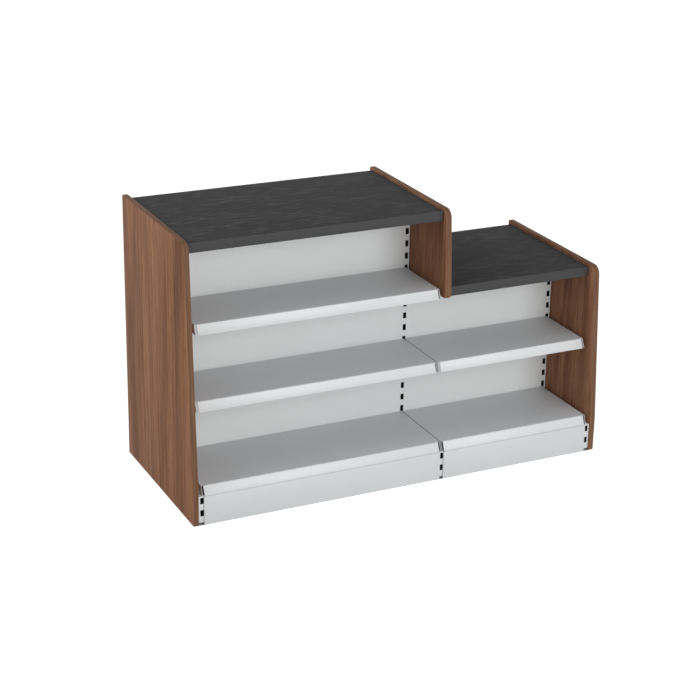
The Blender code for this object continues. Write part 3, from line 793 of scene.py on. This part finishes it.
class SHOP_COUNTER_OT_backs(bpy.types.Operator):
    """Model the folded back panels, the top ones notched round the bearers"""

    bl_idname = "shop_counter.backs"
    bl_label = "Back panels"

    def execute(self, context):
        sizes = context.scene.counter_sizes
        finish = bpy.data.materials["light_steel_powder_coated"]
        return_inset, clearance = 0.0102, 0.002
        notched = {"back_panel_left_upper": HIGH_BEARERS, "back_panel_right_middle": LOW_BEARERS}
        plain = ["back_panel_left_lower", "back_panel_left_middle", "back_panel_right_lower"]
        for node in plain + list(notched):
            low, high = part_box(node)
            sheet = add_block(f"{node}.sheet", low, high)
            start, end = low.x + return_inset, high.x - return_inset
            edit()
            slice_through(X, start, end)
            # The face stays, with returns at its top and bottom that pass between the uprights
            for spare in (at(Y, high.y), at(X, low.x), at(X, high.x)):
                pick("FACE", spare)
                bpy.ops.mesh.delete(type="FACE")
            for side in (low.z, high.z):
                for first, last in ((low.x, start), (end, high.x)):
                    pick("FACE", at(Z, side), within(X, first, last))
                    bpy.ops.mesh.delete(type="FACE")
                pick("EDGE", at(Z, side), at(Y, low.y), within(X, start, end))
                round_off(sizes.bend, 3)
            leave()
            thicken(sheet, sizes.sheet)
            for bearer in notched.get(node, ()):
                bearer_low, bearer_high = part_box(bearer)
                notch = add_block(
                    "notch",
                    (bearer_low.x - clearance, low.y - OVERRUN, bearer_low.z - FIT),
                    (bearer_high.x + clearance, high.y + OVERRUN, high.z + OVERRUN),
                )
                cut_out(sheet, notch)
            hand_over(sheet, node, "light_steel", finish)
        return {"FINISHED"}


class SHOP_COUNTER_OT_trays(bpy.types.Operator):
    """Model the folded tray shelves with their leaning, notched front lips"""

    bl_idname = "shop_counter.trays"
    bl_label = "Trays"

    def execute(self, context):
        sizes = context.scene.counter_sizes
        finish = make_powder_coat("grey_steel_powder_coated", context.scene.counter_colours.grey_coat)
        for shelf in SHELVES:
            node = f"tray_{shelf}"
            low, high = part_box(node)
            top = high.z
            front = low.y + sizes.lip_lean
            tray = add_sheet(f"{node}.tray", (low.x, front, top), (high.x, high.y, top))
            edit()
            # The lip hangs between two notches, which part it from the side skirts
            lip_start, lip_end = low.x + sizes.lip_notch, high.x - sizes.lip_notch
            lip = within(X, lip_start, lip_end)
            slice_through(X, lip_start, lip_end)
            for axis, spot in ((Y, high.y), (X, low.x), (X, high.x)):
                pick("EDGE", at(axis, spot), at(Z, top))
                fold_from(0.0, 0.0, -sizes.lip_drop)
            # The side skirts' front edges lean forward beside the lip
            pick("VERT", at(Y, front), at(Z, low.z))
            shift(0.0, -sizes.lip_lean, 0.0)
            pick("EDGE", at(Y, front), at(Z, top), lip)
            fold_from(0.0, -sizes.lip_lean, -sizes.lip_drop)
            bpy.ops.mesh.select_all(action="SELECT")
            bpy.ops.mesh.remove_doubles(threshold=TOUCH)
            bpy.ops.mesh.normals_make_consistent(inside=False)
            folds = (at(Y, high.y), at(X, low.x), at(X, high.x), lambda ends: at(Y, front)(ends) and lip(ends))
            pick("EDGE", at(Z, top), lambda ends: any(fold(ends) for fold in folds))
            round_off(sizes.bend, 3)
            leave()
            thicken(tray, sizes.sheet)
            hand_over(tray, node, "grey_steel", finish)
        return {"FINISHED"}


class SHOP_COUNTER_OT_ticket_rails(bpy.types.Operator):
    """Model the ticket rails that sit on the trays' lips"""

    bl_idname = "shop_counter.ticket_rails"
    bl_label = "Ticket rails"

    def execute(self, context):
        sizes = context.scene.counter_sizes
        finish = make_ticket_pvc(context.scene.counter_colours)
        turn = math.atan2(sizes.lip_lean, sizes.lip_drop)
        bead_thick = 0.0025
        height = math.hypot(sizes.lip_lean, sizes.lip_drop) - sizes.rail_head + sizes.rail_reach
        for shelf in SHELVES:
            node = f"ticket_rail_{shelf}"
            low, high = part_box(node)
            tray_low, tray_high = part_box(f"tray_{shelf}")
            # Modelled upright with its top rear edge on the X axis, then leaned against the lip
            rail = add_block(f"{node}.profile", (low.x, -sizes.rail_back, -height), (high.x, 0.0, 0.0))
            edit()
            slice_through(Z, -sizes.rail_bead, sizes.rail_bead - height)
            for first, last in ((-sizes.rail_bead, 0.0), (-height, sizes.rail_bead - height)):
                pick("FACE", at(Y, -sizes.rail_back), within(Z, first, last))
                extrude(0.0, sizes.rail_back - bead_thick, 0.0)
            leave()
            soften(rail, EDGE_BREAK, 2)
            take(rail)
            rail.rotation_euler = (-turn, 0.0, 0.0)
            rail.location = (
                0.0,
                tray_low.y + sizes.lip_lean - math.sin(turn) * sizes.rail_head - math.cos(turn) * FIT,
                tray_high.z - math.cos(turn) * sizes.rail_head + math.sin(turn) * FIT,
            )
            bpy.ops.object.transform_apply(location=True, rotation=True, scale=True)
            hand_over(rail, node, "white_plastic", finish)
        return {"FINISHED"}


class SHOP_COUNTER_OT_brackets(bpy.types.Operator):
    """Model one hook-in bracket and copy it to each end of the hung trays"""

    bl_idname = "shop_counter.brackets"
    bl_label = "Brackets"

    def execute(self, context):
        sizes = context.scene.counter_sizes
        finish = bpy.data.materials["grey_steel_powder_coated"]
        skirt_gap, neck_gap, heel_drop, tip_head, tip_foot = 0.003, 0.0006, 0.014, 0.020, 0.028
        nose_gap, hook_height, hook_drop = 0.0025, 0.010, 0.0093
        nodes = [f"bracket_{tray}_{end}" for tray in ("upper_left", "middle_left", "middle_right") for end in "ab"]
        low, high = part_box(nodes[0])
        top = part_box("tray_upper_left")[1].z
        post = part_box("upright_left")[0].y
        back = post - FIT
        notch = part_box("tray_upper_left")[1].y - sizes.sheet - skirt_gap
        neck = top - sizes.lip_drop - neck_gap
        level = top - sizes.tray_rise
        heel = level - 2 * sizes.slot_pitch - sizes.slot_height / 2 - heel_drop
        plate = add_block(f"{nodes[0]}.plate", (low.x, low.y, heel), (high.x, notch, high.z))
        edit()
        slice_through(Z, neck)
        # Rear edge below the notch, then the taper towards the tip
        pick("FACE", at(Y, notch), within(Z, heel, neck))
        extrude(0.0, back - notch, 0.0)
        rise = high.z - tip_foot - heel
        for spot, height, lift in (
            (low.y, neck, high.z - tip_head - neck),
            (low.y, heel, rise),
            (notch, heel, rise * (notch - back) / (low.y - back)),
        ):
            pick("VERT", at(Y, spot), at(Z, height))
            shift(0.0, 0.0, lift)
        # Two hooks in the slots
        nose = post + nose_gap
        for step in (1, 2):
            foot = level - step * sizes.slot_pitch - sizes.slot_height / 2 + FIT
            head = foot + hook_height
            for line in (foot, head):
                pick("FACE", within(Y, notch, back))
                bisect(Z, line)
            pick("FACE", at(Y, back), within(Z, foot, head))
            extrude(0.0, high.y - back, 0.0)
            pick("FACE", within(Y, back, high.y), within(Z, foot, head))
            bisect(Y, nose)
            pick("FACE", at(Z, foot), within(Y, nose, high.y))
            extrude(0.0, 0.0, -hook_drop)
        leave()
        soften(plate, EDGE_BREAK, 2)
        plates = [plate]
        for node in nodes[1:]:
            plates.append(copy_to(plate, f"{node}.plate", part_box(node)[0] - low))
        for node, copy in zip(nodes, plates):
            hand_over(copy, node, "grey_steel", finish)
        return {"FINISHED"}


class SHOP_COUNTER_OT_plinths(bpy.types.Operator):
    """Model the folded plinths"""

    bl_idname = "shop_counter.plinths"
    bl_label = "Plinths"

    def execute(self, context):
        sizes = context.scene.counter_sizes
        finish = make_powder_coat("plinth_steel_powder_coated", context.scene.counter_colours.plinth_coat)
        top_reach, fold_edge = 0.0005, 0.0002
        for node in ("plinth_left", "plinth_right"):
            low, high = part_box(node)
            # The pan reaches up to the ticket rail's foot
            high.z += top_reach
            pan = add_block(f"{node}.pan", low, high)
            edit()
            pick("FACE", at(Y, high.y))
            bpy.ops.mesh.delete(type="FACE")
            leave()
            thicken(pan, sizes.sheet)
            soften(pan, fold_edge, 2)
            hand_over(pan, node, "light_steel", finish)
        return {"FINISHED"}


# Stage

def add_lamp(name, spot, target, size, power):
    """Square soft box that points at a target."""
    lamp = bpy.data.lights.new(name, "AREA")
    lamp.size = size
    lamp.energy = power
    holder = bpy.data.objects.new(name, lamp)
    bpy.context.scene.collection.objects.link(holder)
    holder.location = spot
    holder.rotation_euler = (Vector(target) - Vector(spot)).to_track_quat("-Z", "Y").to_euler()


def seen_directly(tree):
    """Light Path share that is 1 for what the camera sees straight, in a gloss or through glass."""
    path = add_node(tree, "ShaderNodeLightPath").outputs
    gloss = add_node(tree, "ShaderNodeMath", {"operation": "MAXIMUM"},
                     {0: path["Is Camera Ray"], 1: path["Is Glossy Ray"]})
    return add_node(tree, "ShaderNodeMath", {"operation": "MAXIMUM"},
                    {0: gloss.outputs[0], 1: path["Is Transmission Ray"]}).outputs[0]


class SHOP_COUNTER_OT_stage(bpy.types.Operator):
    """Set up the pale floor, the soft light and the camera"""

    bl_idname = "shop_counter.stage"
    bl_label = "Stage"

    def execute(self, context):
        scene = context.scene
        scene.view_settings.view_transform = "Standard"
        white = (*linear("#ffffff"), 1.0)

        reach, floor_lift = 40.0, 0.80
        floor = add_sheet("floor", (-reach, -reach, 0.0), (reach, reach, 0.0))
        paper, tree, shader, place_on = start_finish("white_paper_sweep", {"Roughness": 0.9, "Specular IOR Level": 0.1})
        shader.inputs["Base Color"].default_value = (*linear("#c0c0c0"), 1.0)
        # The floor glows up to white where it is seen straight or in a gloss, but the glow is left out in the closed
        # base
        # and fades out under the open rear: painted shade under the counter
        base_side, base_front, rear_shade_fade = 0.855, -0.355, 0.45
        spot = add_node(tree, "ShaderNodeSeparateXYZ", links={0: place_on}).outputs
        side = add_node(tree, "ShaderNodeMath", {"operation": "ABSOLUTE"}, {0: spot[X]})
        beside = add_node(tree, "ShaderNodeMath", {"operation": "GREATER_THAN", 1: base_side}, {0: side.outputs[0]})
        before = add_node(tree, "ShaderNodeMath", {"operation": "LESS_THAN", 1: base_front}, {0: spot[Y]})
        # Glow fading in behind the base, a painted soft shadow under the open rear
        behind = add_node(tree, "ShaderNodeMapRange",
                          {"interpolation_type": "SMOOTHSTEP", "From Min": 0.0, "From Max": rear_shade_fade},
                          {"Value": spot[Y]})
        border = add_node(tree, "ShaderNodeMath", {"operation": "MAXIMUM"},
                          {0: beside.outputs[0], 1: before.outputs[0]})
        unshaded = add_node(tree, "ShaderNodeMath", {"operation": "MAXIMUM"},
                           {0: border.outputs[0], 1: behind.outputs[0]})
        seen = add_node(tree, "ShaderNodeMath", {"operation": "MULTIPLY"},
                        {0: seen_directly(tree), 1: unshaded.outputs[0]})
        lift = add_node(tree, "ShaderNodeMath", {"operation": "MULTIPLY", 1: floor_lift}, {0: seen.outputs[0]})
        glow = add_node(tree, "ShaderNodeEmission", links={"Strength": lift.outputs[0]})
        both = add_node(tree, "ShaderNodeAddShader", links={0: shader.outputs[0], 1: glow.outputs[0]})
        tree.links.new(both.outputs[0], tree.nodes["Material Output"].inputs["Surface"])
        floor.data.materials.append(paper)

        world = bpy.data.worlds.new("soft_dome")
        world.use_nodes = True
        scene.world = world
        tree = world.node_tree
        tree.nodes.clear()
        dome = add_node(tree, "ShaderNodeBackground", {"Color": white, "Strength": 0.38})
        backdrop = add_node(tree, "ShaderNodeBackground", {"Color": white, "Strength": 1.0})
        sky = add_node(tree, "ShaderNodeMixShader",
                       links={0: seen_directly(tree), 1: dome.outputs[0], 2: backdrop.outputs[0]})
        add_node(tree, "ShaderNodeOutputWorld", links={"Surface": sky.outputs[0]})

        add_lamp("front_box", spot=(0.9, -6.6, 1.8), target=(0.0, 0.0, 0.5), size=5.0, power=368.0)
        add_lamp("side_box", spot=(-4.5, 0.6, 3.2), target=(-0.4, 0.0, 0.7), size=3.5, power=100.0)

        # The photograph's focal length in pixels, its width in pixels and the place and turn of its camera
        focal, width = 1810.4, 700
        eye = (-2.9826, -5.9684, 3.0650)
        yaw, pitch, roll = -0.4545, -0.3750, 0.0200
        camera = bpy.data.cameras.new("camera")
        camera.sensor_width = 36.0
        camera.lens = focal / width * camera.sensor_width
        camera.clip_end = 200.0
        holder = bpy.data.objects.new("camera", camera)
        scene.collection.objects.link(holder)
        ahead = Vector((-math.sin(yaw) * math.cos(pitch), math.cos(yaw) * math.cos(pitch), math.sin(pitch)))
        right = Vector((math.cos(yaw), math.sin(yaw), 0.0))
        up = right.cross(ahead)
        across = math.cos(roll) * right + math.sin(roll) * up
        upward = math.cos(roll) * up - math.sin(roll) * right
        turn = Matrix((across, upward, -ahead)).transposed().to_4x4()
        holder.matrix_world = Matrix.Translation(eye) @ turn
        scene.camera = holder
        return {"FINISHED"}


STEPS = (
    SHOP_COUNTER_OT_boards,
    SHOP_COUNTER_OT_counter_tops,
    SHOP_COUNTER_OT_uprights,
    SHOP_COUNTER_OT_legs,
    SHOP_COUNTER_OT_feet,
    SHOP_COUNTER_OT_rails,
    SHOP_COUNTER_OT_backs,
    SHOP_COUNTER_OT_trays,
    SHOP_COUNTER_OT_ticket_rails,
    SHOP_COUNTER_OT_brackets,
    SHOP_COUNTER_OT_plinths,
    SHOP_COUNTER_OT_stage,
)


class SHOP_COUNTER_PT_sidebar(bpy.types.Panel):
    """Lists the counter's pieces, sizes and colours"""

    bl_idname = "SHOP_COUNTER_PT_sidebar"
    bl_label = "Shop Counter"
    bl_space_type = "VIEW_3D"
    bl_region_type = "UI"
    bl_category = "Shop Counter"

    def draw(self, context):
        for step in STEPS:
            self.layout.operator(step.bl_idname)
        for group in (context.scene.counter_sizes, context.scene.counter_colours):
            column = self.layout.column(align=True)
            for name in group.bl_rna.properties.keys():
                if name not in ("rna_type", "name"):
                    column.prop(group, name)


CLASSES = (CounterSizes, CounterColours, *STEPS, SHOP_COUNTER_PT_sidebar)


def register():
    for cls in CLASSES:
        bpy.utils.register_class(cls)
    bpy.types.Scene.counter_sizes = PointerProperty(type=CounterSizes)
    bpy.types.Scene.counter_colours = PointerProperty(type=CounterColours)


def unregister():
    del bpy.types.Scene.counter_colours
    del bpy.types.Scene.counter_sizes
    for cls in reversed(CLASSES):
        bpy.utils.unregister_class(cls)


def main():
    register()
    for step in STEPS:
        getattr(bpy.ops.shop_counter, step.bl_idname.split(".")[1])()


if __name__ == "__main__":
    main()
